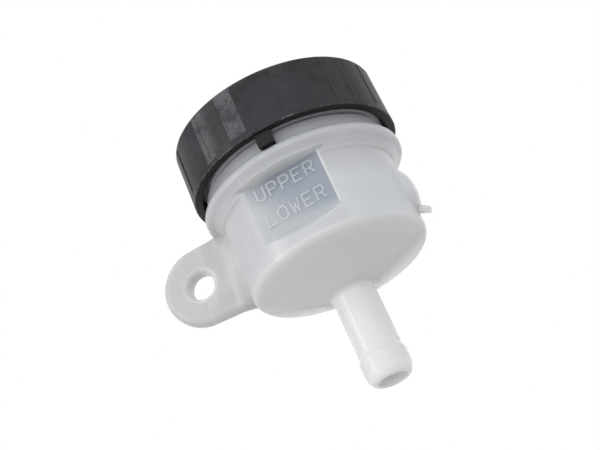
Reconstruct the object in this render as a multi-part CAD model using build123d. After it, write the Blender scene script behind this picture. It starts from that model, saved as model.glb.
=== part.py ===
from build123d import *
import math
import os

os.makedirs("parts", exist_ok=True)

# Remote brake fluid reservoir: a translucent moulded bottle with a flat level
# window, one bolt ear and a hose spigot, closed by a black screw cap that
# holds a plate over a rubber diaphragm.
#
# Millimetres. The solids are built on the tank axis with z = 0 at the cap's
# lower edge, +Z to the cap's top and -Y out of the window, and are moved at
# the end so that the origin is the centre of the ear's bolt hole.

# ---- driving dimensions -------------------------------------------------
# cap
CAP_R_LOW = 22.5        # outside radius at the lower rim
CAP_R_TOP = 22.25       # outside radius at the top
CAP_H = 12.9            # height of the cap
CAP_BORE_R = 20.5       # inside radius of the skirt
CAP_ROOF = 1.8          # thickness of the roof
GRIP_COUNT = 12         # grip ribs round the cap
GRIP_GAP_DEG = 17.0     # width of the valley between two ribs
GRIP_DEPTH = 0.16       # depth of a valley
GRIP_START_DEG = 227.0  # direction of one rib's first edge
GRIP_Z0 = 1.6           # where the valleys start above the rim; they run out over the top edge
LUG_DEG = (267.6, 276.6)    # stop lug under the skirt, as directions
LUG_DROP = 3.0          # how far the lug hangs below the rim

# neck, flange and tank
NECK_R = 19.3           # outside radius of the neck between threads
NECK_TOP = 8.4          # height of the neck's top edge
COLLAR_R = 20.0         # plain collar under the thread
FLANGE_R = 21.75        # flange under the cap
FLANGE_Z0, FLANGE_Z1 = -4.9, -3.6
TANK_R = 18.95          # outside radius of the tank
WALL = 1.8              # moulded wall
TANK_Z_CORNER = -24.2   # sharp corner of wall and funnel bottom
FUNNEL_Z = -30.4        # where the funnel bottom meets the spigot
NECK_BORE_R = 17.0

# spigot
SPIGOT_R = 4.5
SPIGOT_BORE_R = 3.0
SPIGOT_END = -50.0
BARB_R = 4.9
BARB_Z0, BARB_Z1 = -47.5, -44.9   # straight part of the barb

# window
WINDOW_Y = 16.8         # distance of the window face from the axis
WINDOW_Z0, WINDOW_Z1 = -19.4, -6.4
WINDOW_WALL = 1.4

# ear
EAR_REACH = 28.2        # tank axis to bolt hole
EAR_Z = -12.9           # height of the bolt hole
EAR_R = 8.45            # rounded end
EAR_T = 4.0             # thickness
EAR_HOLE_R = 2.9        # clearance for an M5 bolt
EAR_ROUND = 1.5         # rounding of the ear's outer edges
EAR_FILLET = 6.0        # blend between ear and tank
EAR_FLARE_DEG = 5.0     # the lower edge falls away towards the tank

# plate and diaphragm in the cap
PLATE_R = 20.1
PLATE_T = 1.1
PLATE_HOLE_R = 2.5
RIM_R = 19.2
RIM_T = 1.5


def revolved(points):
    """Solid of revolution about Z from (radius, height) points."""
    with BuildPart() as bp:
        with BuildSketch(Plane.XZ):
            with BuildLine():
                Polyline(*points, close=True)
            make_face()
        revolve(axis=Axis.Z)
    return bp.part


def pie(a0, a1, r_in, r_out, z0, z1):
    """Ring sector between two directions in degrees."""
    n = 6
    outer = [(r_out * math.cos(math.radians(a0 + (a1 - a0) * i / n)),
              r_out * math.sin(math.radians(a0 + (a1 - a0) * i / n))) for i in range(n + 1)]
    inner = [(r_in * math.cos(math.radians(a1 - (a1 - a0) * i / n)),
              r_in * math.sin(math.radians(a1 - (a1 - a0) * i / n))) for i in range(n + 1)]
    with BuildPart() as bp:
        with BuildSketch(Plane.XY.offset(z0)):
            with BuildLine():
                Polyline(*(outer + inner), close=True)
            make_face()
        extrude(amount=z1 - z0)
    return bp.part


def slab(x0, x1, y0, y1, z0, z1):
    """Box from its limits."""
    return Pos((x0 + x1) / 2, (y0 + y1) / 2, (z0 + z1) / 2) * Box(x1 - x0, y1 - y0, z1 - z0)


def prism_xz(points, y0, y1):
    """Prism from (x, z) points between two y values."""
    with BuildPart() as bp:
        with BuildSketch(Plane.XZ.offset(-y1)):
            with BuildLine():
                Polyline(*points, close=True)
            make_face()
        extrude(amount=y1 - y0)
    return bp.part


# ---- reservoir body -----------------------------------------------------
slope = (TANK_Z_CORNER - FUNNEL_Z) / (TANK_R - SPIGOT_R)
tank_profile = [
    (0, SPIGOT_END),
    (3.6, SPIGOT_END),
    (4.15, SPIGOT_END + 0.35),
    (4.5, SPIGOT_END + 0.95),
    (4.78, SPIGOT_END + 1.7),
    (BARB_R, BARB_Z0),
    (BARB_R, BARB_Z1),
    (SPIGOT_R, BARB_Z1 + 0.8),
    (SPIGOT_R, FUNNEL_Z),
    (TANK_R, TANK_Z_CORNER),
    (TANK_R, -7.5),
    (19.35, -7.2),
    (20.5, -5.6),
    (FLANGE_R, FLANGE_Z0),
    (FLANGE_R, FLANGE_Z1),
    (COLLAR_R, FLANGE_Z1),
    (COLLAR_R, -0.4),
    (NECK_R, 0.1),
    (NECK_R, NECK_TOP),
    (0, NECK_TOP),
]
outer = revolved(tank_profile)


def ring_edges(part, r, z, tol=0.02):
    """Circular edges about the tank axis at a radius and height."""
    found = []
    for e in part.edges().filter_by(GeomType.CIRCLE):
        c = e.arc_center
        if abs(c.X) < tol and abs(c.Y) < tol and abs(c.Z - z) < tol and abs(e.radius - r) < tol:
            found.append(e)
    return found


outer = fillet(ring_edges(outer, TANK_R, TANK_Z_CORNER), 1.5)
outer = fillet(ring_edges(outer, SPIGOT_R, FUNNEL_Z), 0.9)
outer = fillet(ring_edges(outer, FLANGE_R, FLANGE_Z0) + ring_edges(outer, FLANGE_R, FLANGE_Z1), 0.45)
outer = fillet(ring_edges(outer, COLLAR_R, FLANGE_Z1), 0.4)
outer = fillet(ring_edges(outer, 20.5, -5.6), 0.9)
outer = fillet(ring_edges(outer, 19.35, -7.2), 0.25)
outer = fillet(ring_edges(outer, 3.6, SPIGOT_END), 0.3)

# the ear: a flat plate in the mould's parting plane, blended into the tank
fx = -math.sqrt((TANK_R + EAR_FILLET - 0.05) ** 2 - (EAR_T / 2 + EAR_FILLET) ** 2)
fy = EAR_T / 2 + EAR_FILLET
fl = math.hypot(fx, fy)
tx, ty = fx - EAR_FILLET * fx / fl, fy - EAR_FILLET * fy / fl
mx, my = fx + EAR_FILLET * math.sin(math.radians(32)), fy - EAR_FILLET * math.cos(math.radians(32))
x_end = -EAR_REACH - EAR_R - 1
with BuildPart() as ear_bp:
    with BuildSketch(Plane.XY.offset(EAR_Z - EAR_R - 3)):
        with BuildLine():
            Line((x_end, -EAR_T / 2), (fx, -EAR_T / 2))
            ThreePointArc((fx, -EAR_T / 2), (mx, -my), (tx, -ty))
            Line((tx, -ty), (-15.0, -2.5))
            Line((-15.0, -2.5), (-15.0, 2.5))
            Line((-15.0, 2.5), (tx, ty))
            ThreePointArc((tx, ty), (mx, my), (fx, EAR_T / 2))
            Line((fx, EAR_T / 2), (x_end, EAR_T / 2))
            Line((x_end, EAR_T / 2), (x_end, -EAR_T / 2))
        make_face()
    extrude(amount=2 * EAR_R + 3)
ear = ear_bp.part
with BuildPart() as out_bp:
    with BuildSketch(Plane.XZ.offset(-10)):
        with Locations((-EAR_REACH, EAR_Z)):
            Circle(EAR_R)
        with Locations((-EAR_REACH / 2 - 2, EAR_Z)):
            Rectangle(EAR_REACH - 4, 2 * EAR_R)
        with BuildLine():
            fs, fc = math.sin(math.radians(EAR_FLARE_DEG)), math.cos(math.radians(EAR_FLARE_DEG))
            low_x, low_z = -EAR_REACH - EAR_R * fs, EAR_Z - EAR_R * fc
            in_x = -EAR_REACH / 2
            Polyline((low_x, low_z), (in_x, low_z - (in_x - low_x) * fs / fc), (in_x, EAR_Z), (low_x, EAR_Z), close=True)
        make_face()
    extrude(amount=20)
ear = ear & out_bp.part

rim_edges = []
for e in ear.edges():
    bb = e.bounding_box()
    flat_y = abs(bb.max.Y - bb.min.Y) < 1e-4 and abs(abs(bb.max.Y) - EAR_T / 2) < 1e-3
    if flat_y and bb.min.X < -22.0 and bb.max.X - bb.min.X > 1.0:
        rim_edges.append(e)
ear = fillet(rim_edges, EAR_ROUND)

# the rounded stop pad opposite the ear, and the small nib on it
pad = Pos(TANK_R - 0.45, 0, -16.4) * scale(Sphere(1.0), by=(2.1, 4.6, 4.9))
nib = prism_xz([(TANK_R - 1, -19.5), (TANK_R + 0.4, -20.0), (TANK_R + 2.65, -21.8), (TANK_R + 2.2, -22.8),
                (TANK_R - 0.1, -21.6), (TANK_R - 1, -21.3)], -0.6, 0.6)

# the mould's parting line, a fine ridge over the tank, funnel and spigot
RIDGE = 0.08
ridge_profile = [
    (0, SPIGOT_END + 4.0), (SPIGOT_R, BARB_Z1 + 1.2), (SPIGOT_R + RIDGE, BARB_Z1 + 1.4),
    (SPIGOT_R + RIDGE, FUNNEL_Z - 0.3),
    (TANK_R - 1.55, TANK_Z_CORNER - 0.55), (TANK_R - 0.35, TANK_Z_CORNER + 0.3),
    (TANK_R + RIDGE, TANK_Z_CORNER + 1.9), (TANK_R + RIDGE, -8.0), (TANK_R - 1.0, -7.8), (0, -7.8)]
ridge = prism_xz(ridge_profile, -0.12, 0.12) + prism_xz([(-x, z) for x, z in ridge_profile], -0.12, 0.12)

bottle = outer + pad
seam = []
for e in bottle.edges():
    bb = e.bounding_box()
    if bb.min.X > TANK_R - 1.5 and bb.min.Y > -5.5 and bb.max.Y < 5.5 and bb.max.Z < -7.6 and bb.min.Z > -22.0:
        if bb.max.Y - bb.min.Y > 1.0:
            seam.append(e)
bottle = fillet(seam, 1.2)
body = bottle + ear + nib + ridge

# flat level window, running out towards the bottom
window = prism_xz([(-12, WINDOW_Z1), (12, WINDOW_Z1), (12, WINDOW_Z0), (-12, WINDOW_Z0)], -25, -WINDOW_Y)
with BuildPart() as run_bp:
    with BuildSketch(Plane.YZ.offset(-12)):
        with BuildLine():
            Polyline((-WINDOW_Y, WINDOW_Z0), (-WINDOW_Y, WINDOW_Z0 + 0.5), (-25, WINDOW_Z0 + 0.5),
                     (-25, WINDOW_Z0 - 4.2), (-TANK_R, WINDOW_Z0 - 1.9), close=True)
        make_face()
    extrude(amount=24)
body = body - window - run_bp.part

# raised level lettering on the window, in plain strokes
LET_H, LET_W, LET_P, STROKE, LET_UP = 2.7, 1.75, 2.75, 0.36, 0.25
GLYPHS = {
    "U": [[(0, 1), (0, 0.2), (0.25, 0), (0.75, 0), (1, 0.2), (1, 1)]],
    "P": [[(0, 0), (0, 1), (0.75, 1), (1, 0.85), (1, 0.6), (0.75, 0.45), (0, 0.45)]],
    "E": [[(1, 1), (0, 1), (0, 0), (1, 0)], [(0, 0.5), (0.8, 0.5)]],
    "R": [[(0, 0), (0, 1), (0.75, 1), (1, 0.85), (1, 0.6), (0.75, 0.45), (0, 0.45)], [(0.55, 0.45), (1, 0)]],
    "L": [[(0, 1), (0, 0), (1, 0)]],
    "O": [[(0.25, 0), (0, 0.2), (0, 0.8), (0.25, 1), (0.75, 1), (1, 0.8), (1, 0.2), (0.75, 0), (0.25, 0)]],
    "W": [[(0, 1), (0.25, 0), (0.5, 0.75), (0.75, 0), (1, 1)]],
}


def word(text, z_base):
    """One solid per letter, standing out of the window."""
    letters = []
    x_start = -(LET_P * (len(text) - 1) + LET_W) / 2
    for i, ch in enumerate(text):
        letter = None
        for path in GLYPHS[ch]:
            for (ax, az), (bx, bz) in zip(path[:-1], path[1:]):
                x0, z0 = x_start + i * LET_P + ax * LET_W, z_base + az * LET_H
                x1, z1 = x_start + i * LET_P + bx * LET_W, z_base + bz * LET_H
                length = math.hypot(x1 - x0, z1 - z0)
                angle = math.degrees(math.atan2(z1 - z0, x1 - x0))
                bar = (Pos((x0 + x1) / 2, -WINDOW_Y - LET_UP / 2 + 0.1, (z0 + z1) / 2)
                       * Rot(0, -angle, 0) * Box(length + STROKE * 0.8, LET_UP + 0.2, STROKE))
                letter = bar if letter is None else letter + bar
        letters.append(letter)
    return letters


# witness line of the window's mould insert, along one side
body = body + slab(8.3, 8.52, -WINDOW_Y - 0.2, -WINDOW_Y + 0.5, WINDOW_Z0 + 0.6, WINDOW_Z1 - 0.3)

for letter in word("UPPER", -10.7) + word("LOWER", -16.6):
    body = body + letter

# inside: neck, tank, funnel and spigot bore, flat behind the window
inner_slope_z = FUNNEL_Z + WALL / math.cos(math.atan(slope))
TANK_IN = TANK_R - WALL


def funnel_in(r):
    return inner_slope_z + (r - SPIGOT_R) * slope


lower_cavity = revolved([
    (0, SPIGOT_END - 1), (SPIGOT_BORE_R, SPIGOT_END - 1), (SPIGOT_BORE_R, funnel_in(SPIGOT_BORE_R)),
    (TANK_IN - 1.2, funnel_in(TANK_IN - 1.2)), (TANK_IN, funnel_in(TANK_IN) + 0.7), (TANK_IN, -4.4), (0, -4.4)])
lower_cavity = lower_cavity - slab(-20, 20, -30, -(WINDOW_Y - WINDOW_WALL), -23.0, 0)
upper_cavity = revolved([(0, -4.6), (TANK_IN, -4.6), (NECK_BORE_R, -3.6),
                         (NECK_BORE_R, NECK_TOP - 0.5), (NECK_BORE_R + 0.5, NECK_TOP),
                         (NECK_BORE_R + 0.5, NECK_TOP + 1), (0, NECK_TOP + 1)])
body = body - lower_cavity - upper_cavity

# bolt hole through the ear, with rounded mouths
hole = Pos(-EAR_REACH, 0, EAR_Z) * Rot(90, 0, 0) * Cylinder(EAR_HOLE_R, 20)
body = body - hole
for side, size in ((-1, 1.2), (1, 0.4)):
    mouth = []
    for e in body.edges().filter_by(GeomType.CIRCLE):
        c = e.arc_center
        if abs(e.radius - EAR_HOLE_R) < 0.01 and abs(c.X + EAR_REACH) < 0.01 and side * c.Y > 1:
            mouth.append(e)
    body = fillet(mouth, size)

# ---- screw cap ----------------------------------------------------------
cap_outer = revolved([
    (0, 0), (CAP_R_LOW, 0), (CAP_R_LOW, 1.2), (CAP_R_TOP, CAP_H), (0, CAP_H)])
cap_outer = fillet(ring_edges(cap_outer, CAP_R_TOP, CAP_H), 0.9)
cap_outer = fillet(ring_edges(cap_outer, CAP_R_LOW, 0), 0.3)
cap = cap_outer
draft = (CAP_R_LOW - CAP_R_TOP) / (CAP_H - 1.2)
valley_ring = revolved([
    (CAP_R_LOW - GRIP_DEPTH - draft * (GRIP_Z0 - 1.2), GRIP_Z0), (CAP_R_LOW + 1, GRIP_Z0), (CAP_R_LOW + 1, CAP_H + 1),
    (CAP_R_TOP - GRIP_DEPTH - draft, CAP_H + 1)])
for i in range(GRIP_COUNT):
    a1 = GRIP_START_DEG + i * 360 / GRIP_COUNT
    a0 = a1 - GRIP_GAP_DEG
    # a shallow valley, as deep at the top as at the rim
    cap = cap - (valley_ring & pie(a0, a1, CAP_R_TOP - 2.0, CAP_R_LOW + 2.0, 0, CAP_H + 2))
# shallow dish in the roof, so the cap stacks and is gripped by its edge
cap = cap - Pos(0, 0, CAP_H) * Cylinder(17.5, 0.8)
# inside of the cap
cap = cap - revolved([
    (0, -1), (CAP_BORE_R + 0.4, -1), (CAP_BORE_R + 0.4, 0), (CAP_BORE_R, 0.6),
    (CAP_BORE_R, CAP_H - CAP_ROOF), (0, CAP_H - CAP_ROOF)])
# stop lug hanging in front of the collar, and the small index nib on the rim
lug = pie(LUG_DEG[0], LUG_DEG[1], COLLAR_R + 0.45, CAP_R_LOW - 0.55, -LUG_DROP, 1.0)
lug = lug + pie(LUG_DEG[0], LUG_DEG[1], CAP_BORE_R - 0.05, CAP_R_LOW - 0.55, 0.2, 1.4)
index = pie(LUG_DEG[0] - 0.4, LUG_DEG[0] + 2.8, CAP_R_LOW - 0.8, CAP_R_LOW + 0.2, 0.35, 1.35)
cap = cap + lug + index

# ---- diaphragm plate: a flat ring between cap and diaphragm --------------
z_roof = CAP_H - CAP_ROOF
plate = revolved([(PLATE_HOLE_R, z_roof - 0.1 - PLATE_T), (PLATE_R, z_roof - 0.1 - PLATE_T), (PLATE_R, z_roof - 0.1),
                  (PLATE_HOLE_R, z_roof - 0.1)])
# air grooves in its upper face, from the middle to the rim
for k in range(4):
    plate = plate - Rot(0, 0, 45 + 90 * k) * slab(2, 22, -0.8, 0.8, z_roof - 0.55, z_roof + 1)

# ---- rubber diaphragm: clamped rim, folded side wall, flat floor ---------
zb = NECK_TOP
diaphragm = revolved([
    (0, zb - 7.3), (14.2, zb - 7.3), (15.0, zb - 7.0), (16.5, zb - 5.6), (15.1, zb - 4.0), (16.5, zb - 2.4),
    (15.5, zb - 1.2), (16.4, zb - 0.4), (16.75, zb), (RIM_R, zb), (RIM_R, zb + RIM_T),
    (15.7, zb + RIM_T), (15.4, zb - 0.2), (14.5, zb - 1.2), (15.45, zb - 2.4), (14.05, zb - 4.0),
    (15.4, zb - 5.5), (14.4, zb - 6.35), (0, zb - 6.35)])

# ---- move to the ear's bolt hole and write ------------------------------
to_origin = Location((EAR_REACH, 0, -EAR_Z))


def write(shape, node):
    moved = shape.moved(to_origin)
    solids = moved.solids()
    out = solids[0] if len(solids) == 1 else moved
    export_step(out, f"parts/{node}.step")


write(body, "reservoir_body")
write(cap, "cap")
write(plate, "diaphragm_plate")
write(diaphragm, "diaphragm")
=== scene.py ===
import math

import bmesh
import bpy
from mathutils import Matrix, Vector


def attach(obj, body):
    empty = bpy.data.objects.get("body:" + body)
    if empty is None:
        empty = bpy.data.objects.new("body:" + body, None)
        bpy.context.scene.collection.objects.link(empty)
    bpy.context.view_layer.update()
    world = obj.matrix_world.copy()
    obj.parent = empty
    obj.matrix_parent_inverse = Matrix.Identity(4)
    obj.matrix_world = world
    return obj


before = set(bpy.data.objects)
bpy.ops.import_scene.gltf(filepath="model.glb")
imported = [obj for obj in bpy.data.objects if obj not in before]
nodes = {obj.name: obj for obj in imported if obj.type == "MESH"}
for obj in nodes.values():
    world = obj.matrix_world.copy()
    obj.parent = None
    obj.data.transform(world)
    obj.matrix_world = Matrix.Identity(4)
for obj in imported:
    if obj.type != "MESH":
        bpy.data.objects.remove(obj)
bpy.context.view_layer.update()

# tank axis and cap rim in the shared frame, in metres
AX = 0.0282
RIM_Z = 0.0129
PITCH = 0.003


# ---------------------------------------------------------------- node helpers
class Graph:
    """Short-hand for building a procedural material."""

    def __init__(self, name):
        self.mat = bpy.data.materials.new(name)
        self.mat.use_nodes = True
        self.tree = self.mat.node_tree
        self.tree.nodes.clear()
        self.out = self.node("ShaderNodeOutputMaterial")
        self.bsdf = self.node("ShaderNodeBsdfPrincipled")
        self.link(self.bsdf.outputs["BSDF"], self.out.inputs["Surface"])
        self.coord = self.node("ShaderNodeTexCoord").outputs["Object"]
        sep = self.node("ShaderNodeSeparateXYZ")
        self.link(self.coord, sep.inputs[0])
        self.x, self.y, self.z = sep.outputs

    def node(self, kind, **props):
        n = self.tree.nodes.new(kind)
        for k, v in props.items():
            setattr(n, k, v)
        return n

    def link(self, a, b):
        self.tree.links.new(a, b)

    def put(self, socket, value):
        if hasattr(value, "is_output"):
            self.link(value, socket)
        else:
            socket.default_value = value

    def math(self, op, a, b=0.0, c=0.0):
        n = self.node("ShaderNodeMath", operation=op)
        self.put(n.inputs[0], a)
        self.put(n.inputs[1], b)
        self.put(n.inputs[2], c)
        return n.outputs[0]

    def remap(self, v, a, b, c=0.0, d=1.0, smooth=True):
        n = self.node("ShaderNodeMapRange")
        n.interpolation_type = "SMOOTHSTEP" if smooth else "LINEAR"
        self.put(n.inputs["Value"], v)
        n.inputs["From Min"].default_value = a
        n.inputs["From Max"].default_value = b
        self.put(n.inputs["To Min"], c)
        self.put(n.inputs["To Max"], d)
        return n.outputs["Result"]

    def band(self, v, lo, hi, soft):
        """1 between lo and hi, with soft edges."""
        return self.math("MULTIPLY", self.remap(v, lo - soft, lo + soft), self.remap(v, hi + soft, hi - soft))

    def noise(self, scale, detail=2.0, rough=0.5, stretch=None, vec=None, distortion=0.0):
        v = self.coord if vec is None else vec
        if stretch is not None:
            m = self.node("ShaderNodeMapping")
            m.inputs["Scale"].default_value = stretch
            self.link(v, m.inputs["Vector"])
            v = m.outputs[0]
        n = self.node("ShaderNodeTexNoise")
        self.link(v, n.inputs["Vector"])
        n.inputs["Scale"].default_value = scale
        n.inputs["Detail"].default_value = detail
        n.inputs["Roughness"].default_value = rough
        n.inputs["Distortion"].default_value = distortion
        return n.outputs["Fac"]

    def mix(self, fac, a, b):
        n = self.node("ShaderNodeMix", data_type="RGBA")
        self.put(n.inputs[0], fac)
        self.put(n.inputs[6], a)
        self.put(n.inputs[7], b)
        return n.outputs[2]

    def bump(self, height, distance, strength=1.0, normal=None):
        n = self.node("ShaderNodeBump")
        n.inputs["Strength"].default_value = strength
        n.inputs["Distance"].default_value = distance
        self.link(height, n.inputs["Height"])
        if normal is not None:
            self.link(normal, n.inputs["Normal"])
        return n.outputs["Normal"]

    def around(self):
        """Direction round the tank axis, 0 to 360 degrees, and an unrolled coordinate in metres."""
        dx = self.math("SUBTRACT", self.x, AX)
        turn = self.math("ARCTAN2", self.y, dx)
        deg = self.math("MODULO", self.math("ADD", self.math("MULTIPLY", turn, 180 / math.pi), 360.0), 360.0)
        comb = self.node("ShaderNodeCombineXYZ")
        self.link(self.math("MULTIPLY", turn, 0.0222), comb.inputs[0])
        self.link(self.z, comb.inputs[1])
        return deg, comb.outputs[0], self.radius()

    def radius(self):
        """Distance from the tank axis."""
        dx = self.math("SUBTRACT", self.x, AX)
        return self.math("SQRT", self.math("ADD", self.math("MULTIPLY", dx, dx), self.math("MULTIPLY", self.y, self.y)))

    def set(self, name, value):
        self.put(self.bsdf.inputs[name], value)


def rgb(r, g, b):
    return (r, g, b, 1.0)


# ---------------------------------------------------------------- milky plastic
def milky_plastic():
    """Natural polypropylene: milky and satin, clearer and glossier in the level window."""
    g = Graph("milky_plastic")
    z = g.math("SUBTRACT", g.z, RIM_Z)          # height from the cap's rim
    dx = g.math("SUBTRACT", g.x, AX)
    face = g.math("MULTIPLY", g.remap(dx, 0.0085, 0.0079), g.remap(dx, -0.0091, -0.0080))
    face = g.math("MULTIPLY", face, g.math("MULTIPLY", g.remap(z, -0.0200, -0.0175), g.remap(z, -0.0064, -0.0072)))
    window = g.math("MULTIPLY", g.remap(g.y, -0.01650, -0.01670), face)
    # the window is paler towards its lower left
    fade = g.math("ADD", g.math("MULTIPLY", dx, 0.70), z)
    window = g.math("MULTIPLY", window, g.remap(fade, -0.0205, -0.0095, 0.25, 1.0))
    window = g.math("MULTIPLY", window, g.remap(dx, -0.0086, -0.0010, 0.55, 1.0))
    # painted light: the ceiling over the window, under the flange, is made paler against its shade
    ceiling_fill_light = g.math("MULTIPLY", g.band(z, -0.00655, -0.00625, 0.00008), g.remap(g.radius(), 0.0202, 0.0200))
    ceiling_fill_light = g.math("MULTIPLY", ceiling_fill_light, g.math("MULTIPLY", g.remap(g.y, -0.0162, -0.0166), g.band(dx, -0.0083, 0.0080, 0.0006)))
    letters = g.math("MULTIPLY", g.remap(g.y, -0.01688, -0.01698), face)
    # painted highlight: a pale line down the window's right edge
    edge = g.math("MULTIPLY", g.band(dx, 0.00825, 0.00865, 0.00008), g.band(z, -0.0190, -0.0065, 0.0003))
    edge = g.math("MULTIPLY", edge, g.remap(g.y, -0.0160, -0.0164))
    cloud = g.noise(55.0, 3.0, 0.55)
    flow = g.noise(170.0, 3.0, 0.6, stretch=(1.0, 1.0, 0.22), distortion=0.6)
    grain = g.noise(1500.0, 2.0, 0.5)
    streak = g.noise(120.0, 3.0, 0.55, stretch=(1.0, 1.0, 0.45), distortion=1.2)
    base = g.mix(cloud, rgb(0.715, 0.732, 0.765), rgb(0.775, 0.785, 0.808))
    # the ear and its blend are thicker and greyer
    ear = g.remap(dx, -0.0165, -0.0215)
    base = g.mix(ear, base, rgb(0.655, 0.658, 0.670))
    base = g.mix(g.math("MULTIPLY", g.remap(streak, 0.46, 0.64), 0.35), base, rgb(0.860, 0.864, 0.872))
    # painted shade: the collar and flange are darkened where they sit in the cap's shade, behind a double wall
    collar = g.math("MULTIPLY", g.remap(z, -0.0054, -0.0036), g.remap(g.radius(), 0.0226, 0.0220))
    collar = g.math("MULTIPLY", collar, g.remap(z, 0.0014, -0.0004, 0.25, 1.0))
    base = g.mix(g.math("MULTIPLY", collar, 0.8), base, rgb(0.450, 0.466, 0.498))
    # painted light: paler towards the funnel, and slightly warmer there, where the wall is thicker
    funnel_light_and_tone = g.remap(z, -0.0200, -0.0270)
    base = g.mix(g.math("MULTIPLY", funnel_light_and_tone, 0.75), base, rgb(0.920, 0.923, 0.912))
    # painted shade: darker on the half of the funnel away from the window, past the mould's parting line
    far = g.math("MULTIPLY", g.remap(g.y, -0.00010, 0.00030), g.remap(z, -0.0234, -0.0250))
    far = g.math("MULTIPLY", far, g.remap(dx, 0.0080, -0.0060))
    base = g.mix(g.math("MULTIPLY", far, 0.36), base, rgb(0.520, 0.530, 0.480))
    spout = g.math("MULTIPLY", g.remap(z, -0.0285, -0.0298), g.remap(g.radius(), 0.0053, 0.0046))
    tip = g.remap(z, -0.0425, -0.0470)
    base = g.mix(spout, base, g.mix(tip, rgb(0.900, 0.902, 0.914), rgb(0.885, 0.887, 0.900)))
    # painted light: the spout's bore is made near white against its shade
    bore_fill_light = g.math("MULTIPLY", spout, g.remap(g.radius(), 0.00300, 0.00280))
    base = g.mix(bore_fill_light, base, rgb(0.985, 0.985, 0.988))
    # bluish and paler on the round wall to the right of the window
    beside = g.math("MULTIPLY", g.remap(dx, 0.0084, 0.0090), g.band(z, -0.0232, -0.0125, 0.0022))
    beside = g.math("MULTIPLY", beside, g.remap(g.y, 0.0000, -0.0110))
    base = g.mix(g.math("MULTIPLY", beside, 0.8), base, rgb(0.850, 0.900, 0.990))
    # greyer between the window and the tank's corner
    sill = g.math("MULTIPLY", g.band(z, -0.0232, -0.0186, 0.0008), g.math("MULTIPLY", g.remap(g.y, -0.0120, -0.0150), g.band(dx, -0.0050, 0.0080, 0.0020)))
    base = g.mix(g.math("MULTIPLY", sill, 0.35), base, rgb(0.620, 0.640, 0.690))
    # the funnel's two halves on the right: painted light on the near half, painted shade on the half beyond the parting
    # line
    right = g.math("MULTIPLY", g.remap(dx, 0.0030, 0.0130), g.remap(z, -0.0236, -0.0246))
    near_half_light = g.math("MULTIPLY", right, g.remap(g.y, 0.00015, -0.00015))
    base = g.mix(g.math("MULTIPLY", near_half_light, 0.45), base, rgb(0.985, 0.985, 0.990))
    beyond_half_shade = g.math("MULTIPLY", right, g.remap(g.y, 0.00015, 0.00045))
    base = g.mix(g.math("MULTIPLY", beyond_half_shade, 0.12), base, rgb(0.600, 0.602, 0.600))
    # painted light: the hollow of the ear's blend is made paler against its shade
    blend = g.math("MULTIPLY", g.band(dx, -0.0212, -0.0172, 0.0007), g.math("MULTIPLY", g.remap(g.y, -0.0078, -0.0060), g.remap(g.y, -0.0016, -0.0024)))
    blend = g.math("MULTIPLY", blend, g.math("MULTIPLY", g.remap(z, -0.0215, -0.0160), g.remap(z, -0.0066, -0.0080)))
    base = g.mix(g.math("MULTIPLY", blend, 0.60), base, rgb(0.885, 0.888, 0.893))
    base = g.mix(g.math("MULTIPLY", ear, g.remap(z, -0.0130, -0.0185, 0.0, 0.25)), base, rgb(0.560, 0.562, 0.565))
    # painted highlight: a paler patch where the ear runs out into the tank
    along = g.math("ADD", g.math("SUBTRACT", dx, g.math("MULTIPLY", g.y, 0.8)), g.remap(streak, 0.36, 0.64, -0.0016, 0.0016, smooth=False))
    lean = g.math("ADD", z, g.math("MULTIPLY", along, 0.5))
    patch = g.math("MULTIPLY", g.band(along, -0.0168, -0.0102, 0.0014), g.band(lean, -0.0228, -0.0180, 0.0010))
    patch = g.math("MULTIPLY", patch, g.remap(g.y, -0.0016, -0.0024))
    base = g.mix(g.math("MULTIPLY", patch, 0.65), base, rgb(0.985, 0.985, 0.985))
    # painted light: paler round the mouth of the ear's hole, against the shade there
    hole = g.math("SQRT", g.math("ADD", g.math("MULTIPLY", g.x, g.x), g.math("MULTIPLY", g.z, g.z)))
    mouth = g.remap(hole, 0.0040, 0.0034)
    base = g.mix(mouth, base, rgb(0.990, 0.990, 0.990))
    # painted light over the parting line's shaded side, on the right
    ridge_fill_light = g.math("MULTIPLY", g.band(g.y, -0.00016, 0.00016, 0.00006), g.math("MULTIPLY", g.remap(z, -0.0236, -0.0242), g.remap(dx, 0.0020, 0.0050)))
    base = g.mix(ridge_fill_light, base, rgb(0.990, 0.990, 0.990))
    base = g.mix(g.math("MULTIPLY", window, 0.95), base, rgb(0.600, 0.672, 0.790))
    base = g.mix(g.math("MULTIPLY", letters, g.remap(dx, -0.0040, 0.0060, 0.72, 0.22)), base, rgb(0.900, 0.915, 0.940))
    # painted highlight on the window's right edge
    base = g.mix(g.math("MULTIPLY", edge, 0.8), base, rgb(0.950, 0.955, 0.965))
    # painted light on the ceiling under the flange
    base = g.mix(ceiling_fill_light, base, rgb(0.980, 0.982, 0.990))
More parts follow.
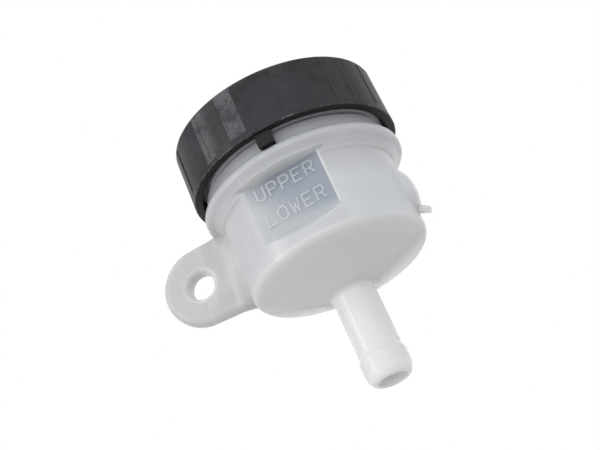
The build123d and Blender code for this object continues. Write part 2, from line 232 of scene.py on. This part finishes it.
    # painted highlights: pale lines where the wall turns, under the flange and at the tank's corner
    turn = g.math("MAXIMUM", g.band(z, -0.00745, -0.00705, 0.00015), g.band(z, -0.02400, -0.02330, 0.00030))
    turn = g.math("MULTIPLY", turn, g.band(g.radius(), 0.0186, 0.0196, 0.0002))
    base = g.mix(g.math("MULTIPLY", turn, 0.7), base, rgb(0.900, 0.905, 0.915))
    g.set("Base Color", base)
    clear = g.math("MULTIPLY", window, g.math("SUBTRACT", 1.0, g.math("MULTIPLY", letters, 0.8)))
    rough = g.math("ADD", 0.19, g.math("MULTIPLY", cloud, 0.10))
    rough = g.math("SUBTRACT", rough, g.math("MULTIPLY", g.math("MAXIMUM", clear, patch), 0.04))
    g.set("Roughness", rough)
    trans = g.math("ADD", g.math("MULTIPLY", cloud, 0.10), 0.20)
    trans = g.math("ADD", trans, g.math("MULTIPLY", clear, 0.30))
    trans = g.math("SUBTRACT", trans, g.math("MULTIPLY", spout, 0.20))
    trans = g.math("ADD", trans, g.math("MULTIPLY", mouth, 0.20))
    trans = g.math("SUBTRACT", trans, g.math("MULTIPLY", edge, 0.12))
    g.set("Transmission Weight", trans)
    g.bsdf.inputs["Subsurface Weight"].default_value = 1.0
    g.bsdf.inputs["Subsurface Radius"].default_value = (1.0, 0.97, 0.92)
    g.bsdf.inputs["Subsurface Scale"].default_value = 0.0030
    g.bsdf.inputs["IOR"].default_value = 1.49
    g.bsdf.inputs["Specular IOR Level"].default_value = 0.5
    ripple = g.bump(g.math("ADD", g.math("MULTIPLY", cloud, 3.0), flow), 0.00006, 0.5)
    skin = g.bump(grain, 0.000004, 0.5, ripple)
    g.set("Normal", skin)
    return g.mat


# ---------------------------------------------------------------- black plastic
def black_plastic():
    """Injection moulded cap: finely frosted ribs, smoother valleys, handling scuffs."""
    g = Graph("black_plastic")
    deg, unrolled, r = g.around()
    z = g.math("SUBTRACT", g.z, RIM_Z)
    local = g.math("MODULO", g.math("ADD", g.math("SUBTRACT", deg, 227.0), 360.0), 30.0)
    lag = g.math("MODULO", g.math("ADD", g.math("SUBTRACT", deg, 225.4), 360.0), 30.0)
    side = g.remap(r, 0.0211, 0.0215)
    rib = g.math("MULTIPLY", g.band(lag, 0.0, 10.3, 0.35), g.band(z, 0.0017, 0.0140, 0.0002))
    # the frosting is polished away where the cap is gripped
    kept = g.math("ADD", 0.07, g.math("MULTIPLY", g.band(deg, 249.0, 279.0, 4.0), 0.93))
    rib = g.math("MULTIPLY", rib, kept)
    # and a strip of it is left beside the next rib
    strip = g.math("MULTIPLY", g.remap(deg, 236.6, 237.2), g.remap(deg, 249.0, 241.0))
    rib = g.math("MAXIMUM", rib, g.math("MULTIPLY", strip, g.band(z, 0.0012, 0.0140, 0.0002)))
    # frosting is worn through in patches
    patch = g.remap(g.noise(260.0, 4.0, 0.65), 0.38, 0.62)
    speckle = g.noise(5200.0, 3.0, 0.75)
    weave = g.noise(2300.0, 2.0, 0.6)
    frost = g.math("MULTIPLY", g.math("MULTIPLY", rib, side), g.math("ADD", 0.18, g.math("MULTIPLY", patch, 0.82)))
    frost_dots = g.math("MULTIPLY", frost, g.remap(speckle, 0.42, 0.60))
    # scuffs run round the cap
    wipe = g.noise(90.0, 5.0, 0.7, stretch=(1.0, 5.0, 1.0), vec=unrolled, distortion=0.4)
    scuff = g.remap(wipe, 0.56, 0.72)
    scratch = g.remap(g.noise(260.0, 3.0, 0.75, stretch=(0.35, 9.0, 1.0), vec=unrolled, distortion=0.9), 0.66, 0.74)
    haze = g.noise(38.0, 3.0, 0.6)
    smear = g.remap(g.noise(150.0, 4.0, 0.65, stretch=(0.8, 1.6, 1.0), vec=unrolled, distortion=1.0), 0.40, 0.66)
    blot = g.remap(g.noise(62.0, 4.0, 0.62, vec=unrolled, distortion=0.8), 0.44, 0.58)
    base = g.mix(g.remap(haze, 0.36, 0.66), rgb(0.0035, 0.0040, 0.0056), rgb(0.0150, 0.0160, 0.0200))
    base = g.mix(g.math("MULTIPLY", blot, 0.75), base, rgb(0.0240, 0.0255, 0.0310))
    base = g.mix(g.math("MULTIPLY", smear, 0.45), base, rgb(0.0310, 0.0325, 0.0370))
    # rubbed paler on the side towards the window's right
    rubbed = g.math("MULTIPLY", g.band(deg, 300.0, 352.0, 9.0), g.remap(haze, 0.34, 0.60, 0.0, 0.2))
    base = g.mix(g.math("MULTIPLY", rubbed, side), base, rgb(0.0480, 0.0500, 0.0505))
    # handled paler between the frosted strips, darker on the far right
    held = g.math("MULTIPLY", g.band(deg, 238.0, 255.0, 1.5), g.remap(smear, 0.0, 1.0, 0.45, 1.0))
    base = g.mix(g.math("MULTIPLY", g.math("MULTIPLY", held, side), 0.55), base, rgb(0.0580, 0.0600, 0.0640))
    base = g.mix(g.math("MULTIPLY", g.math("MULTIPLY", g.band(deg, 328.0, 358.0, 4.0), side), 0.75), base, rgb(0.0030, 0.0034, 0.0042))
    # the small steps beside the ribs are worn pale
    step = g.math("MAXIMUM", g.band(local, 12.65, 13.35, 0.15), g.math("MAXIMUM", g.remap(local, 0.50, 0.30), g.remap(local, 29.50, 29.70)))
    worn = g.math("MAXIMUM", g.remap(deg, 308.0, 314.0), g.math("MAXIMUM", g.band(deg, 238.0, 242.0, 0.5), g.math("MULTIPLY", g.band(deg, 268.0, 272.0, 0.5), 0.6)))
    step = g.math("MULTIPLY", g.math("MULTIPLY", step, worn), g.band(z, 0.0015, 0.0128, 0.0002))
    base = g.mix(g.math("MULTIPLY", g.math("MULTIPLY", step, side), 0.9), base, g.mix(g.remap(deg, 325.0, 345.0), rgb(0.0480, 0.0500, 0.0530), rgb(0.0800, 0.0820, 0.0850)))
    # nicked along the lower edge
    nick = g.math("MULTIPLY", g.band(z, -0.0001, 0.0005, 0.0002), g.remap(g.noise(700.0, 3.0, 0.6, vec=unrolled), 0.52, 0.62))
    base = g.mix(g.math("MULTIPLY", g.math("MULTIPLY", nick, side), 0.6), base, rgb(0.180, 0.185, 0.195))
    base = g.mix(g.math("MULTIPLY", frost, 0.55), base, rgb(0.078, 0.080, 0.084))
    base = g.mix(g.math("MULTIPLY", frost_dots, 0.65), base, rgb(0.230, 0.238, 0.250))
    base = g.mix(g.math("MULTIPLY", g.math("MULTIPLY", scuff, side), 0.35), base, rgb(0.060, 0.064, 0.070))
    base = g.mix(g.math("MULTIPLY", scratch, 0.30), base, rgb(0.110, 0.115, 0.122))
    # clean inside and under the skirt, where nothing has scuffed it, and darkened there as painted shade
    under = g.math("MAXIMUM", g.remap(z, 0.00035, 0.00005), g.remap(r, 0.0209, 0.0206))
    base = g.mix(under, base, rgb(0.0045, 0.0047, 0.0052))
    g.set("Base Color", base)
    rough = g.math("ADD", 0.34, g.math("MULTIPLY", haze, 0.14))
    rough = g.math("ADD", rough, g.math("MULTIPLY", frost, 0.26))
    rough = g.math("ADD", rough, g.math("MULTIPLY", scuff, 0.10))
    g.set("Roughness", rough)
    g.bsdf.inputs["IOR"].default_value = 1.47
    g.bsdf.inputs["Specular IOR Level"].default_value = 0.34
    wave = g.bump(g.noise(75.0, 2.0, 0.5), 0.00018, 0.5)
    dots = g.bump(g.math("MULTIPLY", frost, speckle), 0.00004, 0.8, wave)
    skin = g.bump(g.math("SUBTRACT", weave, g.math("MULTIPLY", scratch, 0.8)), 0.000012, 0.6, dots)
    g.set("Normal", skin)
    return g.mat


def white_plate():
    """Matt moulded disc with faint flow marks from the middle."""
    g = Graph("plate_plastic")
    deg, unrolled, r = g.around()
    rings = g.node("ShaderNodeTexWave", wave_type="RINGS", rings_direction="Z")
    m = g.node("ShaderNodeMapping")
    m.inputs["Location"].default_value = (-AX, 0.0, 0.0)
    g.link(g.coord, m.inputs["Vector"])
    g.link(m.outputs[0], rings.inputs["Vector"])
    rings.inputs["Scale"].default_value = 160.0
    rings.inputs["Distortion"].default_value = 2.0
    cloud = g.noise(90.0, 4.0, 0.6)
    g.set("Base Color", g.mix(cloud, rgb(0.64, 0.635, 0.60), rgb(0.76, 0.755, 0.73)))
    g.set("Roughness", g.math("ADD", 0.42, g.math("MULTIPLY", cloud, 0.2)))
    n = g.bump(rings.outputs["Fac"], 0.00002, 0.6)
    g.set("Normal", g.bump(g.noise(2800.0, 2.0, 0.6), 0.000015, 0.6, n))
    return g.mat


def rubber():
    """Dusty matt black rubber."""
    g = Graph("diaphragm_rubber")
    cloud = g.noise(120.0, 4.0, 0.6)
    bloom = g.remap(g.noise(420.0, 4.0, 0.7), 0.5, 0.75)
    base = g.mix(cloud, rgb(0.020, 0.020, 0.021), rgb(0.034, 0.034, 0.035))
    g.set("Base Color", g.mix(g.math("MULTIPLY", bloom, 0.25), base, rgb(0.085, 0.085, 0.083)))
    g.set("Roughness", g.math("ADD", 0.58, g.math("MULTIPLY", cloud, 0.25)))
    n = g.bump(g.noise(1500.0, 3.0, 0.65), 0.00003, 0.7)
    g.set("Normal", n)
    return g.mat


MILKY, BLACK, PLATE, RUBBER = milky_plastic(), black_plastic(), white_plate(), rubber()
for name, mat in (("reservoir_body", MILKY), ("cap", BLACK), ("diaphragm_plate", PLATE), ("diaphragm", RUBBER)):
    o = nodes[name]
    o.data.materials.clear()
    o.data.materials.append(mat)


# ---------------------------------------------------------------- screw threads
def thread(name, r_root, r_tip, z_start, z_end, first_deg, w_root, w_tip, mat):
    """One right-hand helical ridge about the tank axis, fading in and out at its ends."""
    turns = (z_end - z_start) / PITCH
    steps = int(turns * 120)
    run_out = 0.10
    bm = bmesh.new()
    rings = []
    for i in range(steps + 1):
        t = turns * i / steps
        a = math.radians(first_deg) + 2 * math.pi * t
        z = z_start + PITCH * t
        grow = max(0.02, min(1.0, min(t, turns - t) / run_out))
        grow = grow * grow * (3 - 2 * grow)
        tip = r_root + (r_tip - r_root) * grow
        sink = -0.00012 if r_tip > r_root else 0.00012
        round_r = tip - (r_tip - r_root) * 0.10 * grow
        section = [(r_root + sink, -w_root / 2), (r_root, -w_root / 2), (round_r, -w_tip / 2 - 0.00008),
                   (tip, -w_tip / 2 + 0.00006), (tip, w_tip / 2 - 0.00006), (round_r, w_tip / 2 + 0.00008),
                   (r_root, w_root / 2), (r_root + sink, w_root / 2)]
        rings.append([bm.verts.new((AX + r * math.cos(a), r * math.sin(a), z + dz)) for r, dz in section])
    n = len(rings[0])
    for a, b in zip(rings[:-1], rings[1:]):
        for k in range(n):
            bm.faces.new((a[k], a[(k + 1) % n], b[(k + 1) % n], b[k]))
    bm.faces.new(list(reversed(rings[0])))
    bm.faces.new(rings[-1])
    bmesh.ops.recalc_face_normals(bm, faces=bm.faces)
    mesh = bpy.data.meshes.new(name)
    bm.to_mesh(mesh)
    bm.free()
    for p in mesh.polygons:
        p.use_smooth = True
    o = bpy.data.objects.new(name, mesh)
    bpy.context.scene.collection.objects.link(o)
    o.data.materials.append(mat)
    split = o.modifiers.new("edges", "EDGE_SPLIT")
    split.split_angle = math.radians(40)
    return o


neck_thread = thread("neck_thread", 0.0193, 0.02012, RIM_Z + 0.0002, RIM_Z + 0.0070, 200.0,
                     0.0017, 0.0007, MILKY)
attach(neck_thread, "reservoir")

cap_thread = thread("cap_thread", 0.0205, 0.01970, RIM_Z + 0.0017, RIM_Z + 0.0086, 200.0,
                    0.0017, 0.0007, BLACK)
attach(cap_thread, "cap")


# ---------------------------------------------------------------- stage
def floor_material():
    g = Graph("floor")
    tone = g.noise(3.0, 2.0, 0.5)
    g.set("Base Color", g.mix(tone, rgb(0.68, 0.68, 0.68), rgb(0.71, 0.71, 0.71)))
    g.set("Roughness", 0.9)
    return g.mat


mesh = bpy.data.meshes.new("floor")
bm = bmesh.new()
bmesh.ops.create_grid(bm, x_segments=2, y_segments=2, size=3.0)
bm.to_mesh(mesh)
bm.free()
floor = bpy.data.objects.new("floor", mesh)
floor.location = (0.0, 0.0, -0.45)
floor.data.materials.append(floor_material())
bpy.context.scene.collection.objects.link(floor)

# plain white surroundings, brighter from the front and dimmer from below
FRONT, BELOW, LEFT, RIGHT, ABOVE = 1.26, 1.0, 0.55, 0.75, 0.8
world = bpy.data.worlds.new("studio")
bpy.context.scene.world = world
world.use_nodes = True
wt = world.node_tree
wt.nodes.clear()
w_out = wt.nodes.new("ShaderNodeOutputWorld")
w_bg = wt.nodes.new("ShaderNodeBackground")
w_bg.inputs["Color"].default_value = (1.0, 1.0, 1.0, 1.0)
w_dir = wt.nodes.new("ShaderNodeTexCoord")
w_xyz = wt.nodes.new("ShaderNodeSeparateXYZ")
wt.links.new(w_dir.outputs["Generated"], w_xyz.inputs[0])


def world_ramp(socket, a, b, c, d):
    n = wt.nodes.new("ShaderNodeMapRange")
    n.interpolation_type = "SMOOTHSTEP"
    wt.links.new(socket, n.inputs["Value"])
    for name, value in (("From Min", a), ("From Max", b), ("To Min", c), ("To Max", d)):
        n.inputs[name].default_value = value
    return n.outputs["Result"]


front = world_ramp(w_xyz.outputs[1], 0.0, -0.8, 1.0, FRONT)
level = world_ramp(w_xyz.outputs[2], -0.30, 0.02, BELOW, 1.0)
leftward = world_ramp(w_xyz.outputs[0], -0.40, -0.95, 1.0, LEFT)
rightward = world_ramp(w_xyz.outputs[0], 0.25, 0.90, 1.0, RIGHT)
overhead = world_ramp(w_xyz.outputs[2], 0.72, 0.95, 1.0, ABOVE)
strength = None
for part in (front, level, leftward, rightward, overhead):
    if strength is None:
        strength = part
        continue
    w_mul = wt.nodes.new("ShaderNodeMath")
    w_mul.operation = "MULTIPLY"
    wt.links.new(strength, w_mul.inputs[0])
    wt.links.new(part, w_mul.inputs[1])
    strength = w_mul.outputs[0]
wt.links.new(strength, w_bg.inputs["Strength"])
wt.links.new(w_bg.outputs[0], w_out.inputs["Surface"])


def area(name, where, at, size, power):
    light = bpy.data.lights.new(name, "AREA")
    light.shape = "RECTANGLE"
    light.size, light.size_y = size
    light.energy = power
    o = bpy.data.objects.new(name, light)
    o.location = where
    o.rotation_mode = "QUATERNION"
    o.rotation_quaternion = (Vector(at) - Vector(where)).to_track_quat("-Z", "Y")
    bpy.context.scene.collection.objects.link(o)
    return o


# ---------------------------------------------------------------- camera
right = Vector((0.858257, 0.349676, -0.375661))
ahead = Vector((-0.175322, 0.887697, 0.425742))
cam_data = bpy.data.cameras.new("camera")
cam_data.sensor_width = 36.0
cam_data.lens = 90.5
cam_data.clip_start, cam_data.clip_end = 0.01, 20.0
cam = bpy.data.objects.new("camera", cam_data)
back = -ahead.normalized()
side = (right - right.dot(back) * back).normalized()
upward = back.cross(side)
cam.matrix_world = Matrix((
    (side.x, upward.x, back.x, 0.07841),
    (side.y, upward.y, back.y, -0.27517),
    (side.z, upward.z, back.z, -0.13024),
    (0.0, 0.0, 0.0, 1.0)))
bpy.context.scene.collection.objects.link(cam)
bpy.context.scene.camera = cam

centre = Vector((AX, 0.0, -0.01))
area("soft_left", centre + Vector((-0.50, -0.38, 0.06)), centre, (0.090, 0.42), 0.75)
area("soft_top", centre + Vector((0.10, -0.35, 0.50)), centre, (0.40, 0.40), 0.08)

bpy.context.scene.view_settings.view_transform = "Standard"
